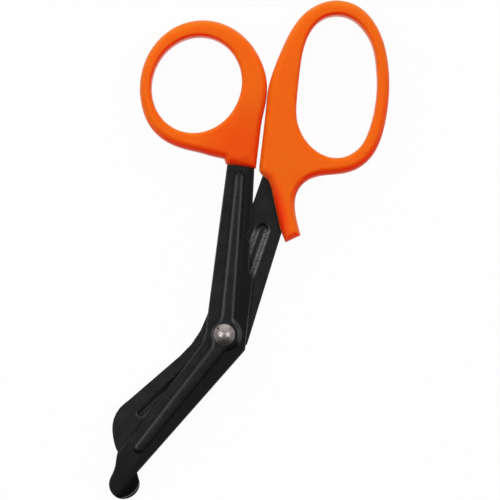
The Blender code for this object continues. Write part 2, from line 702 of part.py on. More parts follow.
def make_rivet(parent):
    """One formed piece: a domed head on the front boss, a shank through both blades and a flat tail behind."""
    seat = FRONT_OUTER_FACE + BEAD_HEIGHT + SEAT_GAP
    tail_seat = REAR_OUTER_FACE - BEAD_HEIGHT - SEAT_GAP
    head = RIVET_HEAD / 2
    rise = RIVET_DOME - RIVET_LIP
    ball = (head ** 2 + rise ** 2) / (2 * rise)
    rim_angle = math.asin(head / ball)
    dome = []
    for k in range(DOME_STEPS + 1):
        angle = rim_angle * k / DOME_STEPS
        dome.append((ball * math.sin(angle), seat + RIVET_DOME - ball * (1 - math.cos(angle))))
    tail = RIVET_TAIL / 2
    bottom = tail_seat - RIVET_TAIL_HEIGHT
    profile = [
        *dome, (head, seat), (RIVET_SHANK / 2, seat), (RIVET_SHANK / 2, tail_seat), (tail, tail_seat),
        (tail, bottom + RIVET_TAIL_CHAMFER), (tail - RIVET_TAIL_CHAMFER, bottom), (0, bottom),
    ]
    return make_object("pivot_rivet", turned(profile, RIVET_SIDES), parent)


# Materials and assembly

def give_material(piece, name, colour, roughness, metallic):
    material = bpy.data.materials.new(name)
    material.use_nodes = True
    shader = material.node_tree.nodes["Principled BSDF"]
    shader.inputs["Base Color"].default_value = (*colour, 1.0)
    shader.inputs["Roughness"].default_value = roughness
    shader.inputs["Metallic"].default_value = metallic
    piece.data.materials.append(material)
    piece.data.shade_smooth()
    piece.data.set_sharp_from_angle(angle=math.radians(35))


def set_on_floor(pivot, pieces):
    """Places the pivot so that the middle of the whole object's box stands on the origin."""
    bpy.context.view_layer.update()
    graph = bpy.context.evaluated_depsgraph_get()
    corners = []
    for piece in pieces:
        corners += [piece.matrix_world @ Vector(corner) for corner in piece.evaluated_get(graph).bound_box]
    lowest = np.min([tuple(corner) for corner in corners], axis=0)
    highest = np.max([tuple(corner) for corner in corners], axis=0)
    middle = (lowest + highest) / 2
    pivot.location = (-middle[0], -middle[1], -lowest[2])


def main():
    for old in list(bpy.data.objects):
        bpy.data.objects.remove(old)
    pivot = bpy.data.objects.new("pivot", None)
    bpy.context.scene.collection.objects.link(pivot)
    front_blade = make_front_blade(pivot)
    rear_blade = make_rear_blade(pivot)
    thumb_handle = make_thumb_handle(pivot)
    finger_handle = make_finger_handle(pivot)
    rivet = make_rivet(pivot)
    give_material(front_blade, "black_coated_steel_front", (0.017, 0.017, 0.018), 0.42, 0.0)
    give_material(rear_blade, "black_coated_steel_rear", (0.017, 0.017, 0.018), 0.42, 0.0)
    give_material(thumb_handle, "orange_plastic_thumb", (0.86, 0.12, 0.010), 0.38, 0.0)
    give_material(finger_handle, "orange_plastic_finger", (0.86, 0.12, 0.010), 0.38, 0.0)
    give_material(rivet, "bare_steel", (0.60, 0.58, 0.56), 0.32, 1.0)
    set_on_floor(pivot, [front_blade, rear_blade, thumb_handle, finger_handle, rivet])


main()
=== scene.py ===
"""Trauma shears on a white table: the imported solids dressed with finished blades, handles and rivet.

The solids give every piece its place. Each visible piece starts from a merged copy of its solid, or from a
primitive at the rivet's place, and is shaped and finished here. Lengths are in metres unless a name says mm,
x runs to the right of the photograph, y up it and z towards the camera.
"""

import logging
import math
from collections.abc import Callable, Iterator
from contextlib import contextmanager
from dataclasses import dataclass, field
from enum import Enum

import bmesh
import bpy
from mathutils import Matrix, Vector

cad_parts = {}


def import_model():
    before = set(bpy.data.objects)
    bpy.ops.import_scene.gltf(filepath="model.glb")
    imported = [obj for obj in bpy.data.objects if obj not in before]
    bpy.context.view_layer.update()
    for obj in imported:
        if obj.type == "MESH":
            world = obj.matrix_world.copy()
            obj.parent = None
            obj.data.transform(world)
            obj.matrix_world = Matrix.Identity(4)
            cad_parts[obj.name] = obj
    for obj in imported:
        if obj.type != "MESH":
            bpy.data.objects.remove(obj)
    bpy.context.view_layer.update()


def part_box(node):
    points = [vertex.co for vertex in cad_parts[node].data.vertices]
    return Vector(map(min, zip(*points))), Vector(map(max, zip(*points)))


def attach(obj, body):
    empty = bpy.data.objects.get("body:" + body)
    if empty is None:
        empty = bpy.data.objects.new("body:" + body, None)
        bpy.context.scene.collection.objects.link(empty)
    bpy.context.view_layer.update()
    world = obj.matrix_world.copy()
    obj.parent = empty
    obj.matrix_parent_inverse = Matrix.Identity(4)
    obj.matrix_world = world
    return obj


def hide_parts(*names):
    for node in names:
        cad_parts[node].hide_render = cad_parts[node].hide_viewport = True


MM = 0.001
LOG = logging.getLogger("shears")
NodeInputs = dict[str | int, object]

# How near to level a face's normal is, and how near to a height its middle, to count as lying there
LEVEL = 0.999
TOUCH = 0.01 * MM

# The pivot of the two blades, which their outlines are measured from
PIVOT = Vector((-8.7003 * MM, -29.5665 * MM, 0.0))

# The leans of the front blade's shank and tip and of the rear blade's shank, clockwise from +Y in degrees
SHANK_LEAN = 4.9
TIP_LEAN = 218.5
REAR_SHANK_LEAN = 19.5

# The middle of the front blade's round foot
FOOT = Vector((-43.72 * MM, -81.95 * MM, 0.0))


class Body(Enum):
    """The two halves that turn about the rivet."""

    FRONT = "front"
    REAR = "rear"


class Slot(Enum):
    """The record's material slots."""

    COATING = "blade_coating"
    PLASTIC = "handle_plastic"
    RIVET = "rivet_steel"


# Modelling helpers


def alone(piece: bpy.types.Object) -> None:
    """Selects this piece and nothing else, and makes it active.

    Args:
        piece: The piece that the next operators act on.
    """
    bpy.ops.object.select_all(action="DESELECT")
    piece.select_set(True)
    bpy.context.view_layer.objects.active = piece


@contextmanager
def edit_mode(piece: bpy.types.Object) -> Iterator[None]:
    """Opens a piece in edit mode, with faces selectable, and closes it again.

    Args:
        piece: The piece to open.

    Yields:
        Nothing, while the piece is open.
    """
    alone(piece)
    bpy.ops.object.mode_set(mode="EDIT")
    bpy.ops.mesh.select_mode(type="FACE")
    yield
    bpy.ops.object.mode_set(mode="OBJECT")


def pick_faces(piece: bpy.types.Object, test: Callable[[bmesh.types.BMFace], bool]) -> int:
    """Selects the faces of the piece in edit mode that pass a test, and no others.

    Args:
        piece: The piece that is open in edit mode.
        test: Says whether a face is wanted.

    Returns:
        How many faces are selected.
    """
    bpy.ops.mesh.select_all(action="DESELECT")
    mesh = bmesh.from_edit_mesh(piece.data)
    found = [face for face in mesh.faces if test(face)]
    for face in found:
        face.select_set(True)
    mesh.select_flush_mode()
    bmesh.update_edit_mesh(piece.data)
    return len(found)


def add_modifier(piece: bpy.types.Object, kind: str, **settings: object) -> None:
    """Adds a modifier with its settings and applies it.

    Args:
        piece: The piece that is changed.
        kind: The modifier's type, such as "BEVEL".
        settings: The modifier's own settings.
    """
    modifier = piece.modifiers.new(kind.lower(), kind)
    for name, value in settings.items():
        setattr(modifier, name, value)
    alone(piece)
    bpy.ops.object.modifier_apply(modifier=modifier.name)


def merged_copy(node: str, name: str) -> bpy.types.Object:
    """Copies a solid's mesh into a new piece, and joins its loose triangles at their corners.

    Args:
        node: The solid's name.
        name: The new piece's name.

    Returns:
        The new piece, at the solid's place.
    """
    piece = bpy.data.objects.new(name, bpy.data.objects[node].data.copy())
    bpy.context.scene.collection.objects.link(piece)
    piece.data.materials.clear()
    with edit_mode(piece):
        bpy.ops.mesh.select_all(action="SELECT")
        bpy.ops.mesh.customdata_custom_splitnormals_clear()
        bpy.ops.mesh.remove_doubles(threshold=0.001 * MM)
    return piece


def shade_rounded(piece: bpy.types.Object, sharp_angle: float) -> None:
    """Shades a piece smooth up to an angle, with its large faces left flat and its narrow ones rounded.

    Args:
        piece: The piece to shade.
        sharp_angle: The angle in degrees past which an edge stays sharp.
    """
    alone(piece)
    bpy.ops.object.shade_smooth_by_angle(angle=math.radians(sharp_angle))
    add_modifier(piece, "WEIGHTED_NORMAL", weight=90, keep_sharp=True)


# Material helpers


def linear(code: str) -> tuple[float, float, float, float]:
    """Turns an sRGB hex colour into a linear one.

    Args:
        code: The colour, such as "#20242a".

    Returns:
        The linear red, green and blue, and an alpha of 1.
    """
    channels = [int(code[i:i + 2], 16) / 255 for i in (1, 3, 5)]
    red, green, blue = (c / 12.92 if c <= 0.04045 else ((c + 0.055) / 1.055) ** 2.4 for c in channels)
    return red, green, blue, 1.0


def add_node(
    tree: bpy.types.NodeTree, kind: str, inputs: NodeInputs | None = None, **settings: object
) -> bpy.types.Node:
    """Adds a node with its settings, values and links.

    Args:
        tree: The node tree that the node goes into.
        kind: The node's type without its "ShaderNode" prefix.
        inputs: For each input's name or number, a value or the output that feeds it.
        settings: The node's own settings.

    Returns:
        The new node.
    """
    node = tree.nodes.new("ShaderNode" + kind)
    for name, value in settings.items():
        setattr(node, name, value)
    for key, value in (inputs or {}).items():
        if isinstance(value, bpy.types.NodeSocket):
            tree.links.new(value, node.inputs[key])
        else:
            node.inputs[key].default_value = value
    return node


def new_material(name: str) -> tuple[bpy.types.Material, bpy.types.NodeTree, bpy.types.Node]:
    """Makes a material that holds only its output node.

    Args:
        name: The material's name.

    Returns:
        The material, its node tree and the output node.
    """
    material = bpy.data.materials.new(name)
    material.use_nodes = True
    tree = material.node_tree
    tree.nodes.clear()
    return material, tree, add_node(tree, "OutputMaterial")


# Finishes


@dataclass(frozen=True)
class ShadePatch:
    """An ellipse on a moulding where painted shade deepens its colour, in full out to its core and none past
    its outline.

    Lengths are in millimetres from its middle. The lean of its long axis is clockwise from +Y, in degrees,
    and the core is a share of the way out.
    """

    middle: tuple[float, float]
    lean: float
    length: float
    width: float
    colour: str
    share: float
    core: float = 0.35

    def strength(self, tree: bpy.types.NodeTree, place: bpy.types.NodeSocket) -> bpy.types.NodeSocket:
        """Gives the share of the patch's own colour.

        Args:
            tree: The node tree of the material.
            place: The point that is shaded, in the piece's own coordinates.

        Returns:
            The share, which is 0 outside the patch.
        """
        lean = math.radians(self.lean)
        middle = Vector((*self.middle, 0.0)) * MM
        long_way = Vector((math.sin(lean), math.cos(lean), 0.0)) / (self.length * MM)
        cross_way = Vector((math.cos(lean), -math.sin(lean), 0.0)) / (self.width * MM)
        arm = add_node(tree, "VectorMath", {0: place, 1: middle}, operation="SUBTRACT").outputs[0]
        parts = [
            add_node(tree, "VectorMath", {0: arm, 1: way}, operation="DOT_PRODUCT").outputs["Value"]
            for way in (long_way, cross_way)
        ]
        spread = add_node(tree, "CombineXYZ", {0: parts[0], 1: parts[1]}).outputs[0]
        reach = add_node(tree, "VectorMath", {0: spread}, operation="LENGTH").outputs["Value"]
        share = add_node(
            tree, "MapRange", {"Value": reach, "From Min": 1.0, "From Max": self.core, "To Max": self.share},
        )
        return share.outputs["Result"]


@dataclass(frozen=True)
class MouldedPlastic:
    """Pigmented polypropylene, injection moulded, with a fine satin grain from the mould.

    To the eye it is a bright, nearly even orange with a soft shine, and light soaks into it. Its rims carry
    painted shade, redder where they turn down, towards -y, and painted light, paler where they turn up; each
    ellipse adds painted shade on the rims near it. A turn is a range of the normal's share along the upper
    side. The rim's height is a range of its share upwards, which leaves the back plain.
    """

    name: str
    colour: str = "#fe7011"
    thin_colour: str = "#fd6a0e"
    # Painted shade: the redder colour of the rims that turn down
    rim_shade_colour: str = "#ff3407"
    # Painted light: the paler colour of the rims that turn up
    pale_colour: str = "#ff7e16"
    shine_colour: str = "#ffb060"
    ior: float = 1.49
    roughness: float = 0.42
    polish: float = 0.06
    scuffing: float = 0.08
    grain_mm: float = 0.35
    grain_depth_mm: float = 0.03
    grain_strength: float = 0.12
    cloud_mm: float = 9.0
    scuff_mm: float = 2.5
    soaked: float = 0.8
    soak_radii: tuple[float, float, float] = (1.0, 0.1, 0.04)
    soak_mm: float = 3.5
    upper_side: tuple[float, float, float] = (-0.3, 0.95, 0.0)
    down_turn: tuple[float, float] = (-0.1, -0.6)
    up_turn: tuple[float, float] = (0.05, 0.7)
    rim_height: tuple[float, float] = (0.02, 0.3)
    # Ellipses of painted shade on the rims
    shade_patches: tuple[ShadePatch, ...] = ()

    def material(self) -> bpy.types.Material:
        """Builds the material.

        Returns:
            The finished material.
        """
        material, tree, output = new_material(self.name)
        place = add_node(tree, "TexCoord").outputs["Object"]
        cloud = add_node(
            tree, "TexNoise", {"Vector": place, "Scale": 1 / (self.cloud_mm * MM), "Detail": 3.0},
        )
        normal = add_node(tree, "NewGeometry").outputs["Normal"]
        facing = add_node(
            tree, "VectorMath", {0: normal, 1: self.upper_side}, operation="DOT_PRODUCT",
        ).outputs["Value"]
        height = add_node(tree, "SeparateXYZ", {0: normal}).outputs["Z"]
        low, high = self.rim_height
        on_rim = add_node(tree, "MapRange", {"Value": height, "From Min": low, "From Max": high})
        rims = []
        for start, end in (self.down_turn, self.up_turn):
            turned = add_node(tree, "MapRange", {"Value": facing, "From Min": start, "From Max": end})
            pair = {0: turned.outputs["Result"], 1: on_rim.outputs["Result"]}
            rims.append(add_node(tree, "Math", pair, operation="MULTIPLY"))
        colour = add_node(
            tree, "Mix",
            {"Factor": cloud.outputs["Fac"], 6: linear(self.thin_colour), 7: linear(self.colour)},
            data_type="RGBA",
        )
        # Painted shade from the ellipses and on the rims that turn down, and painted light on the rims that
        # turn up
        shares = []
        for patch in self.shade_patches:
            pair = {0: patch.strength(tree, place), 1: on_rim.outputs["Result"]}
            strength = add_node(tree, "Math", pair, operation="MULTIPLY")
            shares.append((strength.outputs[0], patch.colour))
        shares += [(rims[0].outputs[0], self.rim_shade_colour), (rims[1].outputs[0], self.pale_colour)]
        for share, tint in shares:
            colour = add_node(
                tree, "Mix", {"Factor": share, 6: colour.outputs[2], 7: linear(tint)},
                data_type="RGBA",
            )
        grain = add_node(
            tree, "TexNoise", {"Vector": place, "Scale": 1 / (self.grain_mm * MM), "Detail": 2.0},
        )
        scuffs = add_node(
            tree, "TexNoise",
            {"Vector": place, "Scale": 1 / (self.scuff_mm * MM), "Detail": 6.0, "Roughness": 0.7},
        )
        smooth, rough = self.roughness - self.polish, self.roughness + self.scuffing
        roughness = add_node(
            tree, "MapRange", {"Value": scuffs.outputs["Fac"], "To Min": smooth, "To Max": rough},
        )
        bump = add_node(
            tree, "Bump",
            {
                "Height": grain.outputs["Fac"], "Strength": self.grain_strength,
                "Distance": self.grain_depth_mm * MM,
            },
        )
        shader = add_node(
            tree, "BsdfPrincipled",
            {
                "Base Color": colour.outputs[2], "Roughness": roughness.outputs["Result"],
                "Normal": bump.outputs["Normal"], "IOR": self.ior, "Subsurface Weight": self.soaked,
                "Subsurface Radius": self.soak_radii, "Subsurface Scale": self.soak_mm * MM,
                "Specular Tint": linear(self.shine_colour),
            },
        )
        tree.links.new(shader.outputs["BSDF"], output.inputs["Surface"])
        return material


@dataclass(frozen=True)
class HighlightArc:
    """A thin arc of painted highlight on a coat: the part of a circle that lies past a reach on one side.

    Lengths are in millimetres. The side is a direction of length 1 from the middle, and the arc fades in
    past the reach.
    """

    middle: tuple[float, float]
    radius: float
    half_width: float
    side: tuple[float, float]
    reach: float
    share: float
    fade: float = 0.8

    def highlight_and_wear(self, tree: bpy.types.NodeTree, place: bpy.types.NodeSocket) -> bpy.types.NodeSocket:
        """Gives the share of painted highlight along the arc.

        Args:
            tree: The node tree of the material.
            place: The point that is shaded, in the piece's own coordinates.

        Returns:
            The share, which is 0 off the arc.
        """
        plan = add_node(tree, "VectorMath", {0: place, 1: (1.0, 1.0, 0.0)}, operation="MULTIPLY").outputs[0]
        middle = Vector((*self.middle, 0.0)) * MM
        arm = add_node(tree, "VectorMath", {0: plan, 1: middle}, operation="SUBTRACT").outputs[0]
        far = add_node(tree, "VectorMath", {0: arm}, operation="LENGTH").outputs["Value"]
        off = add_node(tree, "Math", {0: far, 1: self.radius * MM}, operation="SUBTRACT").outputs[0]
        away = add_node(tree, "Math", {0: off}, operation="ABSOLUTE").outputs[0]
        outline = self.half_width * MM
        on_arc = add_node(
            tree, "MapRange",
            {"Value": away, "From Min": outline, "From Max": outline / 3, "To Max": self.share},
        )
        out = add_node(
            tree, "VectorMath", {0: arm, 1: (*self.side, 0.0)}, operation="DOT_PRODUCT",
        ).outputs["Value"]
        start, end = self.reach * MM, (self.reach + self.fade) * MM
        on_side = add_node(tree, "MapRange", {"Value": out, "From Min": start, "From Max": end})
        return add_node(
            tree, "Math", {0: on_arc.outputs["Result"], 1: on_side.outputs["Result"]}, operation="MULTIPLY",
        ).outputs[0]


@dataclass(frozen=True)
class CoatedSteel:
    """Stainless steel under a black non-stick coating, sprayed and baked to a fine satin texture.

    To the eye it is a soft grey-black with a faint speckle, drawn coarser than the real one so that it shows.
    To the lower right of the beads it is blacker by painted shade, and glossier, and the foot's share of that
    is reached near the foot. On what slopes between two heights, which are those of the front rims or of the
    rear hollows' walls, it is paler, as coat wear and painted highlight, with less of it near the tip and
    none above the top. Along the arcs a highlight is painted.
    """

    name: str
    highlight_and_wear_low: float
    highlight_and_wear_high: float
    colour: str = "#060606"
    pale_colour: str = "#191919"
    # Painted shade to the lower right of the beads and near the foot
    painted_shade_colour: str = "#020202"
    # Coat wear and painted highlight on the slopes
    highlight_and_wear_colour: str = "#676767"
    # Painted highlight along the arcs
    highlight_colour: str = "#a6a3a2"
    roughness: float = 0.28
    polish: float = 0.05
    dulling: float = 0.06
    shade_roughness: float = 0.2
    ior: float = 1.31
    texture_mm: float = 0.4
    texture_depth_mm: float = 0.03
    texture_strength: float = 0.4
    cloud_mm: float = 4.0
    hatch_mm: float = 0.45
    shade_mm: tuple[float, float] = (1.5, 4.5)
    foot_mm: tuple[float, float] = (18.0, 9.0)
    foot_share: float = 0.8
    shade_share: float = 0.0
    highlight_and_wear_strength: float = 1.0
    highlight_and_wear_at_tip: float = 1.0
    highlight_and_wear_top: float = 100 * MM
    arcs: tuple[HighlightArc, ...] = ()

    def material(self) -> bpy.types.Material:
        """Builds the material.

        Returns:
            The finished material.
        """
        material, tree, output = new_material(self.name)
        place = add_node(tree, "TexCoord").outputs["Object"]
        cloud = add_node(
            tree, "TexNoise", {"Vector": place, "Scale": 1 / (self.cloud_mm * MM), "Detail": 5.0},
        )
        texture = add_node(
            tree, "TexNoise", {"Vector": place, "Scale": 1 / (self.texture_mm * MM), "Detail": 3.0},
        )
        pair = {0: cloud.outputs["Fac"], 1: texture.outputs["Fac"]}
        speckle = add_node(tree, "Math", pair, operation="ADD")
        spread = add_node(tree, "MapRange", {"Value": speckle.outputs[0], "From Min": 0.75, "From Max": 1.25})
        colour = add_node(
            tree, "Mix",
            {"Factor": spread.outputs["Result"], 6: linear(self.colour), 7: linear(self.pale_colour)},
            data_type="RGBA",
        )
        # Painted shade to the lower right of the beads and near the foot; the same share makes the coat
        # glossier below
        shade_mask = self.lower_right(tree, place)
        # Coat wear and painted highlight on the slopes
        shares = [(shade_mask, self.painted_shade_colour), (self.highlight_and_wear(tree, place), self.highlight_and_wear_colour)]
        # Painted highlights along the arcs
        shares += [(arc.highlight_and_wear(tree, place), self.highlight_colour) for arc in self.arcs]
        for share, tint in shares:
            colour = add_node(
                tree, "Mix", {"Factor": share, 6: colour.outputs[2], 7: linear(tint)}, data_type="RGBA",
            )
        smooth, rough = self.roughness - self.polish, self.roughness + self.dulling
        satin = add_node(
            tree, "MapRange", {"Value": cloud.outputs["Fac"], "To Min": smooth, "To Max": rough},
        )
        roughness = add_node(
            tree, "MapRange",
            {"Value": shade_mask, "To Min": satin.outputs["Result"], "To Max": self.shade_roughness},
        )
        bump = add_node(
            tree, "Bump",
            {
                "Height": texture.outputs["Fac"], "Strength": self.texture_strength,
                "Distance": self.texture_depth_mm * MM,
            },
        )
        shader = add_node(
            tree, "BsdfPrincipled",
            {
                "Base Color": colour.outputs[2], "Roughness": roughness.outputs["Result"],
                "Normal": bump.outputs["Normal"], "IOR": self.ior,
            },
        )
        tree.links.new(shader.outputs["BSDF"], output.inputs["Surface"])
        return material

    def lower_right(self, tree: bpy.types.NodeTree, place: bpy.types.NodeSocket) -> bpy.types.NodeSocket:
        """Gives the share of painted shade, which is 0 away from the foot and the beads' lower right.

        Args:
            tree: The node tree of the material.
            place: The point that is shaded, in the piece's own coordinates.

        Returns:
            The share, at most its full share of painted shade.
        """
        arm = add_node(tree, "VectorMath", {0: place, 1: PIVOT}, operation="SUBTRACT").outputs[0]
        sides = []
        for lean, sign in ((SHANK_LEAN, 1.0), (TIP_LEAN, -1.0)):
            angle = math.radians(lean)
            across = (sign * math.cos(angle), -sign * math.sin(angle), 0.0)
            way = add_node(tree, "VectorMath", {0: arm, 1: across}, operation="DOT_PRODUCT")
            sides.append(way.outputs["Value"])
        side = add_node(tree, "Math", {0: sides[0], 1: sides[1]}, operation="MAXIMUM")
        near, far_off = (reach * MM for reach in self.shade_mm)
        share = add_node(
            tree, "MapRange",
            {"Value": side.outputs[0], "From Min": near, "From Max": far_off, "To Max": self.shade_share},
        )
        far = add_node(tree, "VectorMath", {0: place, 1: FOOT}, operation="DISTANCE").outputs["Value"]
        start, end = (reach * MM for reach in self.foot_mm)
        most = self.foot_share * self.shade_share
        by_foot = add_node(
            tree, "MapRange", {"Value": far, "From Min": start, "From Max": end, "To Max": most},
        )
        return add_node(
            tree, "Math", {0: share.outputs["Result"], 1: by_foot.outputs["Result"]}, operation="MAXIMUM",
        ).outputs[0]

    def highlight_and_wear(self, tree: bpy.types.NodeTree, place: bpy.types.NodeSocket) -> bpy.types.NodeSocket:
        """Gives the share of coat wear and painted highlight on the slopes, in a hatch that follows the rear
        shank.

        Args:
            tree: The node tree of the material.
            place: The point that is shaded, in the piece's own coordinates.

        Returns:
            The share, which is 0 on level faces.
        """
        split = add_node(tree, "SeparateXYZ", {0: place})
        up = add_node(tree, "SeparateXYZ", {0: add_node(tree, "NewGeometry").outputs["Normal"]})
        turn = (0.0, 0.0, math.radians(REAR_SHANK_LEAN))
        turned = add_node(tree, "Mapping", {"Vector": place, "Rotation": turn, "Scale": (0.3, 1.0, 0.3)})
        hatch = add_node(
            tree, "TexNoise", {"Vector": turned.outputs[0], "Scale": 1 / (self.hatch_mm * MM), "Detail": 1.0},
        )
        # What is read, where the paler coat starts along it and where it is full, and the least that there is
        spans = [
            (split.outputs["Z"], self.highlight_and_wear_high, self.highlight_and_wear_high - 0.08 * MM, 0.0),
            (split.outputs["Z"], self.highlight_and_wear_low, self.highlight_and_wear_low + 0.05 * MM, 0.0),
            (split.outputs["Y"], -45 * MM, -20 * MM, self.highlight_and_wear_at_tip),
            (split.outputs["Y"], self.highlight_and_wear_top, self.highlight_and_wear_top - 1.6 * MM, 0.0),
            (up.outputs["Z"], 0.25, 0.5, 0.0),
            (hatch.outputs["Fac"], 0.32, 0.6, 0.25),
        ]
        shares = [
            add_node(tree, "MapRange", {"Value": value, "From Min": start, "From Max": end, "To Min": least})
            for value, start, end, least in spans
        ]
        share = add_node(tree, "Math", {0: shares[0].outputs["Result"], 1: self.highlight_and_wear_strength}, operation="MULTIPLY")
        for other in shares[1:]:
            share = add_node(
                tree, "Math", {0: share.outputs[0], 1: other.outputs["Result"]}, operation="MULTIPLY",
            )
        return share.outputs[0]


@dataclass(frozen=True)
class BareSteel:
    """Stainless steel, headed cold and tumbled.

    To the eye it is bright, with its highlights broken by scratches that run every way, duller stains and a
    few dark nicks. A nick is (across, up, radius) in millimetres from the pivot.
    """

    name: str
    colour: str = "#a89f9c"
    dull_colour: str = "#817a79"
    nick_colour: str = "#2a2524"
    roughness: float = 0.27
    roughness_spread: float = 0.12
    scratch_mm: float = 0.5
    scratch_depth_mm: float = 0.05
    scratch_strength: float = 0.4
    stain_mm: float = 1.2
    nicks: tuple[tuple[float, float, float], ...] = ((-2.25, 2.2, 0.42), (-1.45, 0.35, 0.3), (1.1, -1.0, 0.2))

    def material(self) -> bpy.types.Material:
        """Builds the material.

        Returns:
            The finished material.
        """
        material, tree, output = new_material(self.name)
        place = add_node(tree, "TexCoord").outputs["Object"]
        scratches = add_node(
            tree, "TexNoise",
            {"Vector": place, "Scale": 1 / (self.scratch_mm * MM), "Detail": 6.0, "Roughness": 0.7},
        )
        stains = add_node(
            tree, "TexNoise",
            {"Vector": place, "Scale": 1 / (self.stain_mm * MM), "Detail": 4.0, "Roughness": 0.65},
        )
        dull = add_node(tree, "MapRange", {"Value": stains.outputs["Fac"], "From Min": 0.4, "From Max": 0.62})
        colour = add_node(
            tree, "Mix",
            {"Factor": dull.outputs["Result"], 6: linear(self.colour), 7: linear(self.dull_colour)},
            data_type="RGBA",
        )
        colour = add_node(
            tree, "Mix",
            {"Factor": self.nicked(tree, place), 6: colour.outputs[2], 7: linear(self.nick_colour)},
            data_type="RGBA",
        )
        smooth, rough = self.roughness - self.roughness_spread, self.roughness + self.roughness_spread
        roughness = add_node(
            tree, "MapRange", {"Value": scratches.outputs["Fac"], "To Min": smooth, "To Max": rough},
        )
        bump = add_node(
            tree, "Bump",
            {
                "Height": scratches.outputs["Fac"], "Strength": self.scratch_strength,
                "Distance": self.scratch_depth_mm * MM,
            },
        )
        shader = add_node(
            tree, "BsdfPrincipled",
            {
                "Base Color": colour.outputs[2], "Metallic": 1.0, "Roughness": roughness.outputs["Result"],
                "Normal": bump.outputs["Normal"],
            },
        )
        tree.links.new(shader.outputs["BSDF"], output.inputs["Surface"])
        return material

    def nicked(self, tree: bpy.types.NodeTree, place: bpy.types.NodeSocket) -> bpy.types.NodeSocket:
        """Gives the share of nicked metal.

        Args:
            tree: The node tree of the material.
            place: The point that is shaded, in the piece's own coordinates.

        Returns:
            The share, from 1 in the nicks to 0 outside them.
        """
        plan = add_node(tree, "VectorMath", {0: place, 1: (1.0, 1.0, 0.0)}, operation="MULTIPLY").outputs[0]
        total = 0.0
        for across, up, radius in self.nicks:
            middle = PIVOT + Vector((across, up, 0.0)) * MM
            far = add_node(tree, "VectorMath", {0: plan, 1: middle}, operation="DISTANCE")
            near = add_node(
                tree, "MapRange",
                {"Value": far.outputs["Value"], "From Min": radius * MM, "From Max": radius * MM / 2},
            )
            pair = {0: total, 1: near.outputs["Result"]}
            total = add_node(tree, "Math", pair, operation="MAXIMUM").outputs[0]
        return total


# Pieces


@dataclass
class Piece:
    """One finished piece: its name, the solid that it stands for, and the half that it rides on."""

    name: str
    node: str
    body: Body
    slot: Slot
    made: bpy.types.Object | None = field(default=None, init=False)

    def build(self) -> bpy.types.Object:
        """Makes the piece's mesh."""
        raise NotImplementedError

    def dress(self, material: bpy.types.Material) -> None:
        """Gives the piece its finish, ties it to its half and hides its solid.

        Args:
            material: The finish.
        """
        self.made = self.build()
        self.made.data.materials.append(material)
        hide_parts(self.node)
        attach(self.made, self.body.value)
        LOG.info("%s: %d faces, riding on %s", self.name, len(self.made.data.polygons), self.body.value)


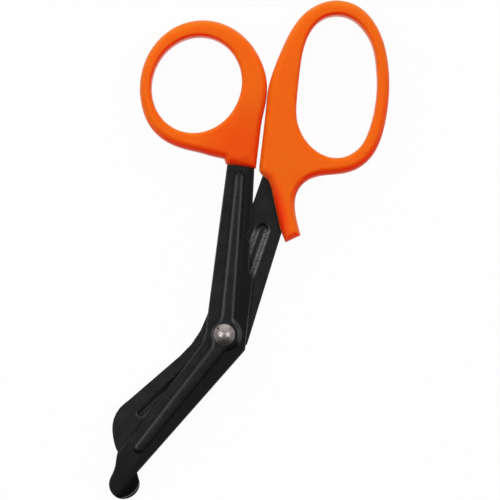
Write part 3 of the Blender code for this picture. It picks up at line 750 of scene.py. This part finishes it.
@dataclass
class Blade(Piece):
    """A blade pressed from sheet, with its shoulders home against the handle.

    The shank's lean is clockwise from +Y. Its shoulders lie at the reach from the pivot, within the slack.
    Rims are bevelled where they turn by an angle in the range, in radians, and less on the ground side of the
    tip.
    """

    inner_face: float = 5.15 * MM
    outer_face: float = 6.95 * MM
    shank_lean: float = SHANK_LEAN
    shoulder_reach: float = 59.0 * MM
    shoulder_slack: float = 1.5 * MM
    shoulder_gap: float = 0.31 * MM
    bead_height: float = 0.9 * MM
    bead_crown: float = 0.06 * MM
    crown_inset: float = 0.5 * MM
    floor_insets: tuple[float, float] = (1.0 * MM, 0.45 * MM)
    floor_drop: float = 0.12 * MM
    floor_clearance: float = 5.2 * MM
    rim_width: float = 0.4 * MM
    rim_angles: tuple[float, float] = (0.5, 1.2)
    ground: bool = False
    ground_rim_width: float = 0.15 * MM
    ground_side: float = 2.5 * MM
    rim_steps: int = 3
    sharp_angle: float = 60.0

    def build(self) -> bpy.types.Object:
        """Copies the blade's solid, finishes its rims, beads and shoulders, and shades it.

        Returns:
            The new piece.
        """
        blade = merged_copy(self.node, self.name)
        with edit_mode(blade):
            bpy.ops.mesh.dissolve_limited(angle_limit=math.radians(0.4))
            self.round_rims(blade)
            if self.crown_inset:
                self.crown_beads(blade)
            self.sink_floors(blade)
            self.close_shoulders(blade)
        shade_rounded(blade, self.sharp_angle)
        return blade

    def crown_beads(self, blade: bpy.types.Object) -> None:
        """Lifts the middle of the beads' tops, so that they are round all the way over.

        Args:
            blade: The blade, open in edit mode.
        """
        side = math.copysign(1.0, self.outer_face - self.inner_face)
        top = self.outer_face + side * self.bead_height
        found = pick_faces(blade, lambda face: self.lies_at(face, top))
        bpy.ops.mesh.inset(thickness=self.crown_inset, use_even_offset=True)
        bpy.ops.transform.translate(value=(0, 0, side * self.bead_crown))
        LOG.info("%s: %d faces on the beads' tops", self.name, found)

    def sink_floors(self, blade: bpy.types.Object) -> None:
        """Sinks the hollows' floors above and below the boss, which leaves a sloped step round each.

        The floor round the rivet's hole stays, because an inset there would fold over itself and into the
        rivet.

        Args:
            blade: The blade, open in edit mode.
        """
        side = math.copysign(1.0, self.outer_face - self.inner_face)
        floor = self.inner_face + side * self.bead_height
        for width, sign in zip(self.floor_insets, (1, -1)):
            start = PIVOT + Vector((0, sign * self.floor_clearance, 0))
            pick_faces(blade, lambda face: self.lies_at(face, floor))
            bpy.ops.mesh.bisect(plane_co=start, plane_no=(0, 1, 0))
            pick_faces(
                blade,
                lambda face: self.lies_at(face, floor) and sign * (face.calc_center_median().y - start.y) > 0,
            )
            bpy.ops.mesh.inset(thickness=width, use_even_offset=True)
            bpy.ops.transform.translate(value=(0, 0, side * self.floor_drop))

    def round_rims(self, blade: bpy.types.Object) -> None:
        """Bevels the blade's outline where its outer face meets its rim.

        Args:
            blade: The blade, open in edit mode.
        """
        least, most = self.rim_angles
        bpy.ops.mesh.select_mode(type="EDGE")
        for width in dict.fromkeys((self.rim_width, self.ground_rim_width)):
            bpy.ops.mesh.select_all(action="DESELECT")
            mesh = bmesh.from_edit_mesh(blade.data)
            for edge in mesh.edges:
                level = [self.lies_at(face, self.outer_face) for face in edge.link_faces]
                turn = edge.calc_face_angle(0.0)
                sharp = sum(level) == 1 and edge.is_convex and least < turn < most
                edge.select_set(sharp and self.rim_width_at(edge) == width)
            bmesh.update_edit_mesh(blade.data)
            bpy.ops.mesh.bevel(offset=width, segments=self.rim_steps, profile=0.5, clamp_overlap=True)
        bpy.ops.mesh.select_mode(type="FACE")

    def rim_width_at(self, edge: bmesh.types.BMEdge) -> float:
        """Gives how wide an edge is bevelled.

        Args:
            edge: An edge of the blade's outline.

        Returns:
            The bevel's width.
        """
        lean = math.radians(TIP_LEAN)
        arm = (edge.verts[0].co + edge.verts[1].co) / 2 - PIVOT
        along = arm.x * math.sin(lean) + arm.y * math.cos(lean)
        across = arm.x * math.cos(lean) - arm.y * math.sin(lean)
        is_ground = self.ground and along > 0 and across > self.ground_side
        return self.ground_rim_width if is_ground else self.rim_width

    def lies_at(self, face: bmesh.types.BMFace, height: float) -> bool:
        """Says whether a face is level and at a height."""
        return abs(face.normal.z) > LEVEL and abs(face.calc_center_median().z - height) < TOUCH

    def close_shoulders(self, blade: bpy.types.Object) -> None:
        """Slides the shoulders up the shank until they meet the handle's collar.

        Args:
            blade: The blade, open in edit mode.
        """
        lean = math.radians(self.shank_lean)
        along = Vector((math.sin(lean), math.cos(lean), 0.0))

        def is_shoulder(face: bmesh.types.BMFace) -> bool:
            """Says whether a face looks along the shank at the shoulders' reach."""
            reach = (face.calc_center_median() - PIVOT).dot(along)
            return face.normal.dot(along) > 0.9 and abs(reach - self.shoulder_reach) < self.shoulder_slack

        if pick_faces(blade, is_shoulder):
            bpy.ops.transform.translate(value=along * self.shoulder_gap)


@dataclass(frozen=True)
class Swell:
    """A place where a moulding swells: its middle, how far round it that reaches, which way and by how much.

    Lengths are in millimetres. The way is a direction of length 1.
    """

    middle: tuple[float, float, float]
    reach: float
    way: tuple[float, float, float]
    amount: float


@dataclass
class Handle(Piece):
    """A moulded handle: flat faces that roll over into rounded rims."""

    swells: tuple[Swell, ...] = ()
    crease_angle: float = 50.0
    sharp_angle: float = 45.0
    levels: int = 2

    def build(self) -> bpy.types.Object:
        """Copies the handle's solid, swells it and subdivides it to a smooth moulding.

        Returns:
            The new piece.
        """
        handle = merged_copy(self.node, self.name)
        low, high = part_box(self.node)
        with edit_mode(handle):
            # Thin triangles in the flat faces would fold over where the rims swell
            pick_faces(handle, lambda face: self.on_cap(face, low.z, high.z))
            bpy.ops.mesh.beautify_fill(angle_limit=math.radians(0.5))
            pick_faces(handle, lambda face: not self.on_cap(face, low.z, high.z))
            bpy.ops.mesh.tris_convert_to_quads(face_threshold=math.radians(0.5), shape_threshold=math.pi)
            self.crease(handle, low.z, high.z)
            for swell in self.swells:
                self.swell_out(handle, swell)
        add_modifier(handle, "SUBSURF", levels=self.levels, render_levels=self.levels)
        shade_rounded(handle, self.sharp_angle)
        return handle

    def swell_out(self, handle: bpy.types.Object, swell: Swell) -> None:
        """Swells one place of the handle's side.

        Args:
            handle: The handle, open in edit mode.
            swell: The place, and how it swells.
        """
        middle, way = Vector(swell.middle) * MM, Vector(swell.way)

        def swells(face: bmesh.types.BMFace) -> bool:
            """Says whether a face is near the middle and faces the way of the swell."""
            near = (face.calc_center_median() - middle).length < swell.reach * MM
            return near and face.normal.dot(way) > 0.5

        found = pick_faces(handle, swells)
        bpy.ops.transform.translate(
            value=way * swell.amount * MM, use_proportional_edit=True,
            proportional_edit_falloff="SMOOTH", proportional_size=2 * swell.reach * MM,
        )
        LOG.info("%s: %d faces swell", self.name, found)

    def crease(self, handle: bpy.types.Object, low: float, high: float) -> None:
        """Creases the edges round the flat faces, and every sharp edge, so that they hold when subdivided.

        Args:
            handle: The handle, open in edit mode.
            low: The height of its flat back.
            high: The height of its flat front.
        """
        mesh = bmesh.from_edit_mesh(handle.data)
        crease = mesh.edges.layers.float.get("crease_edge") or mesh.edges.layers.float.new("crease_edge")
        for edge in mesh.edges:
            caps = sum(self.on_cap(face, low, high) for face in edge.link_faces)
            if caps == 1 or edge.calc_face_angle(0.0) > math.radians(self.crease_angle):
                edge[crease] = 1.0
        bmesh.update_edit_mesh(handle.data)

    def on_cap(self, face: bmesh.types.BMFace, low: float, high: float) -> bool:
        """Says whether a face lies in the handle's flat back or front."""
        height = face.calc_center_median().z
        return abs(face.normal.z) > LEVEL and min(abs(height - low), abs(height - high)) < TOUCH


@dataclass
class Rivet(Piece):
    """The domed rivet, headed on the front and flattened behind."""

    sides: int = 72
    shank_radius: float = 2.2 * MM
    head_radius: float = 3.73 * MM
    head_seat: float = 8.16 * MM
    lip: float = 0.35 * MM
    dome: float = 1.73 * MM
    dome_steps: int = 10
    tail_radius: float = 3.48 * MM
    tail_seat: float = 1.84 * MM
    tail_bottom: float = 0.56 * MM
    tail_chamfer: float = 0.45 * MM
    tail_corner: float = 0.13 * MM
    head_corner: float = 0.06 * MM
    sharp_angle: float = 28.0

    def build(self) -> bpy.types.Object:
        """Draws the shank, then swells its top into the head and its foot into the tail.

        Returns:
            The new piece.
        """
        bpy.ops.object.select_all(action="DESELECT")
        middle = (self.head_seat + self.tail_seat) / 2
        bpy.ops.mesh.primitive_cylinder_add(
            vertices=self.sides, radius=self.shank_radius, depth=self.head_seat - self.tail_seat,
            location=(PIVOT.x, PIVOT.y, middle),
        )
        rivet = bpy.context.active_object
        rivet.name = self.name
        rivet.data.name = self.name
        bpy.ops.object.transform_apply(location=True)
        with edit_mode(rivet):
            pick_faces(rivet, lambda face: face.normal.z > 0.9)
            self.grow(self.shank_radius, self.head_profile())
            pick_faces(rivet, lambda face: face.normal.z < -0.9 and face.calc_center_median().z < middle)
            self.grow(self.shank_radius, self.tail_profile())
            bpy.ops.mesh.select_all(action="SELECT")
            bpy.ops.mesh.normals_make_consistent(inside=False)
        alone(rivet)
        bpy.ops.object.shade_smooth_by_angle(angle=math.radians(self.sharp_angle))
        return rivet

    def head_profile(self) -> list[tuple[float, float]]:
        """Gives the head's outline from its seat: out, up the lip and over the dome to a small flat top.

        Returns:
            The (radius, rise) of each step.
        """
        rise = self.dome - self.lip
        ball = (self.head_radius ** 2 + rise ** 2) / (2 * rise)
        rim = math.asin(self.head_radius / ball)
        steps = [(self.head_radius - self.head_corner, 0.0), (self.head_radius, self.head_corner)]
        steps.append((self.head_radius, self.lip))
        for k in range(1, self.dome_steps + 1):
            angle = rim * (1 - k / (self.dome_steps + 0.3))
            steps.append((ball * math.sin(angle), self.dome - ball * (1 - math.cos(angle))))
        return steps

    def tail_profile(self) -> list[tuple[float, float]]:
        """Gives the tail's outline from its seat downwards.

        Returns:
            The (radius, rise) of each step.
        """
        drop = self.tail_bottom - self.tail_seat
        return [
            (self.tail_radius, 0.0), (self.tail_radius, drop + self.tail_chamfer),
            (self.tail_radius - self.tail_corner, drop + self.tail_corner),
            (self.tail_radius - self.tail_chamfer, drop),
            (self.tail_radius - 2.5 * self.tail_chamfer, drop),
        ]

    def grow(self, radius: float, profile: list[tuple[float, float]]) -> None:
        """Extrudes the selected disc through a profile.

        Args:
            radius: The disc's radius at the start.
            profile: The (radius, rise) of each step, with the rise measured from the start.
        """
        height = 0.0
        for next_radius, rise in profile:
            bpy.ops.mesh.extrude_region_move(TRANSFORM_OT_translate={"value": (0, 0, rise - height)})
            share = next_radius / radius
            bpy.ops.transform.resize(value=(share, share, 1), center_override=(PIVOT.x, PIVOT.y, 0))
            radius, height = next_radius, rise


# Studio


@dataclass(frozen=True)
class Softbox:
    """A softbox that faces the shears: its bearing from +X and its elevation in degrees, and its light."""

    name: str
    bearing: float
    elevation: float
    distance: float
    width: float
    height: float
    radiance: float

    def hang(self) -> None:
        """Adds the lamp."""
        turn, rise = math.radians(self.bearing), math.radians(self.elevation)
        way = Vector((math.cos(turn) * math.cos(rise), math.sin(turn) * math.cos(rise), math.sin(rise)))
        lamp = bpy.data.lights.new(self.name, "AREA")
        lamp.shape = "RECTANGLE"
        lamp.size = self.width
        lamp.size_y = self.height
        lamp.energy = self.radiance * math.pi * self.width * self.height
        hung = bpy.data.objects.new(self.name, lamp)
        aim = way.to_track_quat("Z", "Y").to_matrix().to_4x4()
        hung.matrix_world = Matrix.Translation(way * self.distance) @ aim
        bpy.context.scene.collection.objects.link(hung)


@dataclass(frozen=True)
class Studio:
    """A white table under softboxes, photographed from straight above.

    The room is darker towards the foot of the photograph, and its ceiling is dimmer than its walls. These
    ranges are of the share of a direction along +Y and upwards. The table is plain white to the camera by a
    share, and matt paper for the rest, which takes the shadow.
    """

    boxes: tuple[Softbox, ...] = (
        Softbox("softbox_left", 180.0, 65.0, 1.2, 0.46, 0.46, 4.8),
        Softbox("softbox_right", 0.0, 65.0, 1.2, 0.42, 0.42, 4.2),
        Softbox("softbox_back", 90.0, 42.0, 1.0, 1.1, 0.8, 0.6),
    )
    ceiling: float = 0.53
    walls: float = 0.7
    ceiling_from: tuple[float, float] = (0.45, 0.8)
    front: float = 0.08
    front_to_back: tuple[float, float] = (-0.95, 0.05)
    table_white: float = 0.955
    table_size: float = 6.0
    fibre_mm: float = 0.5
    paper_colours: tuple[str, str] = ("#f2f2f2", "#f9f9f9")
    camera_height: float = 0.9
    photo_span: float = 0.175
    photo_level: float = 5.5 * MM
    aim: tuple[float, float] = (0.26 * MM, -0.06 * MM)
    sensor: float = 36.0

    def set_camera(self) -> None:
        """Hangs the camera so that the photograph's width spans its real width at the blades."""
        lens = bpy.data.cameras.new("camera")
        lens.sensor_width = self.sensor
        lens.lens = self.sensor * (self.camera_height - self.photo_level) / self.photo_span
        lens.clip_end = 20.0
        camera = bpy.data.objects.new("camera", lens)
        camera.location = (*self.aim, self.camera_height)
        bpy.context.scene.collection.objects.link(camera)
        bpy.context.scene.camera = camera

    def lay_table(self) -> None:
        """Lays a sheet of matt white paper, which shows white to the camera and still takes the shadow."""
        bpy.ops.object.select_all(action="DESELECT")
        bpy.ops.mesh.primitive_plane_add(size=self.table_size)
        table = bpy.context.active_object
        table.name = "table"
        material, tree, output = new_material("white_paper")
        place = add_node(tree, "TexCoord").outputs["Object"]
        fibre = add_node(
            tree, "TexNoise", {"Vector": place, "Scale": 1 / (self.fibre_mm * MM), "Detail": 3.0},
        )
        dark, pale = (linear(code) for code in self.paper_colours)
        tone = add_node(tree, "Mix", {"Factor": fibre.outputs["Fac"], 6: dark, 7: pale}, data_type="RGBA")
        paper = add_node(tree, "BsdfDiffuse", {"Color": tone.outputs[2]})
        glow = add_node(tree, "Emission", {"Color": linear("#ffffff"), "Strength": 1.0})
        seen = background_rays(tree)
        share = add_node(tree, "Math", {0: seen, 1: self.table_white}, operation="MULTIPLY")
        sheet = add_node(
            tree, "MixShader", {0: share.outputs[0], 1: paper.outputs["BSDF"], 2: glow.outputs["Emission"]},
        )
        tree.links.new(sheet.outputs["Shader"], output.inputs["Surface"])
        table.data.materials.append(material)

    def set_surroundings(self) -> None:
        """Lights the room dimly, and shows it white to the camera."""
        world = bpy.data.worlds.new("studio")
        world.use_nodes = True
        tree = world.node_tree
        tree.nodes.clear()
        output = add_node(tree, "OutputWorld")
        way = add_node(tree, "SeparateXYZ", {0: add_node(tree, "TexCoord").outputs["Generated"]})
        start, end = self.front_to_back
        from_front = add_node(
            tree, "MapRange",
            {
                "Value": way.outputs["Y"], "From Min": start, "From Max": end,
                "To Min": self.front, "To Max": 1.0,
            },
            interpolation_type="SMOOTHSTEP",
        )
        start, end = self.ceiling_from
        overhead = add_node(
            tree, "MapRange",
            {
                "Value": way.outputs["Z"], "From Min": start, "From Max": end,
                "To Min": self.walls, "To Max": self.ceiling,
            },
            interpolation_type="SMOOTHSTEP",
        )
        strength = add_node(
            tree, "Math", {0: from_front.outputs[0], 1: overhead.outputs[0]}, operation="MULTIPLY",
        )
        room = add_node(tree, "Background", {"Color": linear("#ffffff"), "Strength": strength.outputs[0]})
        white = add_node(tree, "Background", {"Color": linear("#ffffff"), "Strength": 1.0})
        camera = add_node(tree, "LightPath").outputs["Is Camera Ray"]
        both = add_node(
            tree, "MixShader", {0: camera, 1: room.outputs["Background"], 2: white.outputs["Background"]},
        )
        tree.links.new(both.outputs["Shader"], output.inputs["Surface"])
        bpy.context.scene.world = world

    def build(self) -> None:
        """Sets up the camera, the table, the surroundings and the softboxes."""
        self.set_camera()
        self.lay_table()
        self.set_surroundings()
        for box in self.boxes:
            box.hang()
        view = bpy.context.scene.view_settings
        view.view_transform = "Standard"


def background_rays(tree: bpy.types.NodeTree) -> bpy.types.NodeSocket:
    """Gives 1 for rays from the camera and for those that metal or glass sends on, and 0 for all others.

    Args:
        tree: The node tree of the material.

    Returns:
        The output that carries the 1 or 0.
    """
    path = add_node(tree, "LightPath")
    pair = {0: path.outputs["Is Camera Ray"], 1: path.outputs["Is Glossy Ray"]}
    first = add_node(tree, "Math", pair, operation="MAXIMUM")
    both = add_node(
        tree, "Math", {0: first.outputs[0], 1: path.outputs["Is Transmission Ray"]}, operation="MAXIMUM",
    )
    return both.outputs[0]


def main() -> None:
    """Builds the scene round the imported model."""
    logging.basicConfig(level=logging.INFO, format="%(message)s")
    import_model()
    Studio().build()
    # Painted highlights: a thin line along the foot's rim and an arc on the boss's right shoulder
    foot_rim = HighlightArc((-45.3, -79.93), 6.93, half_width=0.16, side=(0.75, -0.66), reach=4.7, share=0.6)
    boss_shoulder = HighlightArc((-8.7, -29.57), 5.8, half_width=0.6, side=(0.97, 0.24), reach=3.6, share=0.12)
    # The front coat carries painted shade to the lower right of its beads and near the foot
    coating_front = CoatedSteel(
        "coated_stainless_front", highlight_and_wear_low=6.55 * MM, highlight_and_wear_high=6.95 * MM, shade_share=1.0, highlight_and_wear_strength=0.4,
        highlight_and_wear_at_tip=0.0, arcs=(foot_rim, boss_shoulder),
    ).material()
    coating_rear = CoatedSteel(
        "coated_stainless_rear", highlight_and_wear_low=3.83 * MM, highlight_and_wear_high=4.85 * MM, highlight_and_wear_at_tip=0.12,
        highlight_and_wear_top=7.6 * MM,
    ).material()
    # Painted shade on the rims round the collar and along the spur's inner flank
    collar = ShadePatch((-1.5, 33.5), lean=0.0, length=20.0, width=20.0, colour="#fd4e06", share=0.8)
    spur_flank = ShadePatch((10.0, 13.1), lean=-11.8, length=16.0, width=3.6, colour="#fe3206", share=1.0)
    thumb_plastic = MouldedPlastic("orange_polypropylene_thumb", shade_patches=(collar,)).material()
    finger_plastic = MouldedPlastic("orange_polypropylene_finger", shade_patches=(spur_flank,)).material()
    steel = BareSteel("tumbled_stainless_steel").material()
    Blade(
        "front_blade_finished", "front_blade", Body.FRONT, Slot.COATING, ground=True,
        floor_insets=(0.45 * MM, 0.45 * MM),
    ).dress(coating_front)
    Blade(
        "rear_blade_finished", "rear_blade", Body.REAR, Slot.COATING,
        inner_face=4.85 * MM, outer_face=3.05 * MM, shank_lean=REAR_SHANK_LEAN, crown_inset=0.0,
    ).dress(coating_rear)
    meeting = (6.56, 55.9, 5.0)
    Handle(
        "thumb_handle_finished", "thumb_handle", Body.FRONT, Slot.PLASTIC,
        swells=(Swell(meeting, 5.0, (1, 0, 0), 0.17), Swell((-8.6, 32.6, 5.0), 3.0, (-0.6, -0.8, 0), 0.45)),
    ).dress(thumb_plastic)
    Handle(
        "finger_handle_finished", "finger_handle", Body.REAR, Slot.PLASTIC,
        swells=(Swell(meeting, 5.0, (-1, 0, 0), 0.17),),
    ).dress(finger_plastic)
    Rivet("rivet_finished", "pivot_rivet", Body.FRONT, Slot.RIVET).dress(steel)


if __name__ == "__main__":
    main()
